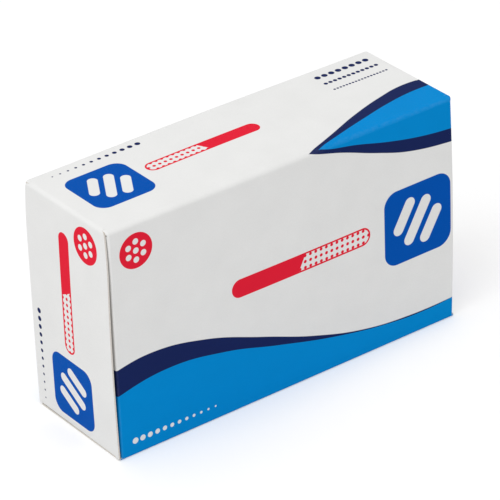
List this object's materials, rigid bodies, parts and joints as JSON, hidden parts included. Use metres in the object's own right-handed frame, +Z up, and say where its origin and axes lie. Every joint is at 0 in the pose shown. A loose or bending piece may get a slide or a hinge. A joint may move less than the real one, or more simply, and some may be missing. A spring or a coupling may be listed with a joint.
{
  "type": "carton of emery boards",
  "caption": "Printed straight-tuck paperboard carton packed with emery boards. Both end lids swing up, drawing out their tuck flaps, while the dust flaps swing aside.",
  "frame": {"origin": "middle of the carton's footprint, on the surface it stands on", "axes": "+X along the carton to the right of its front panel, +Y from the front panel to the back panel, +Z up"},
  "size_m": [0.12, 0.0394, 0.072],
  "materials": {
    "printed_paperboard": "satin",
    "chipboard_core": "matte",
    "coarse_abrasive": "matte",
    "fine_abrasive": "matte"
  },
  "bodies": {
    "sleeve": {"front_panel": "printed_paperboard", "top_panel": "printed_paperboard", "back_panel": "printed_paperboard", "bottom_panel": "printed_paperboard", "glue_flap": "printed_paperboard"},
    "left_lid": {"left_lid": "printed_paperboard"},
    "left_tuck": {"left_tuck_flap": "printed_paperboard"},
    "left_front_dust": {"left_front_dust_flap": "printed_paperboard"},
    "left_back_dust": {"left_back_dust_flap": "printed_paperboard"},
    "right_lid": {"right_lid": "printed_paperboard"},
    "right_tuck": {"right_tuck_flap": "printed_paperboard"},
    "right_front_dust": {"right_front_dust_flap": "printed_paperboard"},
    "right_back_dust": {"right_back_dust_flap": "printed_paperboard"},
    "front_stack": {"front_dozen_1_fine": "fine_abrasive", "front_dozen_1_cores": "chipboard_core", "front_dozen_1_coarse": "coarse_abrasive", "front_dozen_2_fine": "fine_abrasive", "front_dozen_2_cores": "chipboard_core", "front_dozen_2_coarse": "coarse_abrasive", "front_dozen_3_fine": "fine_abrasive", "front_dozen_3_cores": "chipboard_core", "front_dozen_3_coarse": "coarse_abrasive", "front_dozen_4_fine": "fine_abrasive", "front_dozen_4_cores": "chipboard_core", "front_dozen_4_coarse": "coarse_abrasive"},
    "middle_stack": {"middle_dozen_1_fine": "fine_abrasive", "middle_dozen_1_cores": "chipboard_core", "middle_dozen_1_coarse": "coarse_abrasive", "middle_dozen_2_fine": "fine_abrasive", "middle_dozen_2_cores": "chipboard_core", "middle_dozen_2_coarse": "coarse_abrasive", "middle_dozen_3_fine": "fine_abrasive", "middle_dozen_3_cores": "chipboard_core", "middle_dozen_3_coarse": "coarse_abrasive", "middle_dozen_4_fine": "fine_abrasive", "middle_dozen_4_cores": "chipboard_core", "middle_dozen_4_coarse": "coarse_abrasive"},
    "back_stack": {"back_dozen_1_fine": "fine_abrasive", "back_dozen_1_cores": "chipboard_core", "back_dozen_1_coarse": "coarse_abrasive", "back_dozen_2_fine": "fine_abrasive", "back_dozen_2_cores": "chipboard_core", "back_dozen_2_coarse": "coarse_abrasive", "back_dozen_3_fine": "fine_abrasive", "back_dozen_3_cores": "chipboard_core", "back_dozen_3_coarse": "coarse_abrasive", "back_dozen_4_fine": "fine_abrasive", "back_dozen_4_cores": "chipboard_core", "back_dozen_4_coarse": "coarse_abrasive"}
  },
  "joints": [
    {"name": "left_lid_hinge", "type": "hinge", "parent": "sleeve", "child": "left_lid", "pos_m": [-0.0594, 0, 0.0714], "axis": [0, 1, 0], "range_deg": [0, 180]},
    {"name": "left_tuck_fold", "type": "hinge", "parent": "left_lid", "child": "left_tuck", "pos_m": [-0.0594, 0, 0.0012], "axis": [0, -1, 0], "range_deg": [0, 22.5]},
    {"name": "left_front_dust_fold", "type": "hinge", "parent": "sleeve", "child": "left_front_dust", "pos_m": [-0.05875, -0.0191, 0.036], "axis": [0, 0, 1], "range_deg": [0, 108]},
    {"name": "left_back_dust_fold", "type": "hinge", "parent": "sleeve", "child": "left_back_dust", "pos_m": [-0.05875, 0.0191, 0.036], "axis": [0, 0, -1], "range_deg": [0, 108]},
    {"name": "right_lid_hinge", "type": "hinge", "parent": "sleeve", "child": "right_lid", "pos_m": [0.0594, 0, 0.0714], "axis": [0, -1, 0], "range_deg": [0, 180]},
    {"name": "right_tuck_fold", "type": "hinge", "parent": "right_lid", "child": "right_tuck", "pos_m": [0.0594, 0, 0.0012], "axis": [0, 1, 0], "range_deg": [0, 22.5]},
    {"name": "right_front_dust_fold", "type": "hinge", "parent": "sleeve", "child": "right_front_dust", "pos_m": [0.05875, -0.0191, 0.036], "axis": [0, 0, -1], "range_deg": [0, 108]},
    {"name": "right_back_dust_fold", "type": "hinge", "parent": "sleeve", "child": "right_back_dust", "pos_m": [0.05875, 0.0191, 0.036], "axis": [0, 0, 1], "range_deg": [0, 108]},
    {"name": "front_stack_shift", "type": "slide", "parent": "sleeve", "child": "front_stack", "axis": [1, 0, 0], "range_m": [-0.0014, 0.0014]},
    {"name": "middle_stack_shift", "type": "slide", "parent": "sleeve", "child": "middle_stack", "axis": [1, 0, 0], "range_m": [-0.0014, 0.0014]},
    {"name": "back_stack_shift", "type": "slide", "parent": "sleeve", "child": "back_stack", "axis": [1, 0, 0], "range_m": [-0.0014, 0.0014]}
  ],
  "couplings": [
    {"joint": "left_tuck_fold", "follows": "left_lid_hinge", "ratio": 0.125},
    {"joint": "left_front_dust_fold", "follows": "left_lid_hinge", "ratio": 0.6},
    {"joint": "left_back_dust_fold", "follows": "left_lid_hinge", "ratio": 0.6},
    {"joint": "right_tuck_fold", "follows": "right_lid_hinge", "ratio": 0.125},
    {"joint": "right_front_dust_fold", "follows": "right_lid_hinge", "ratio": 0.6},
    {"joint": "right_back_dust_fold", "follows": "right_lid_hinge", "ratio": 0.6}
  ]
}
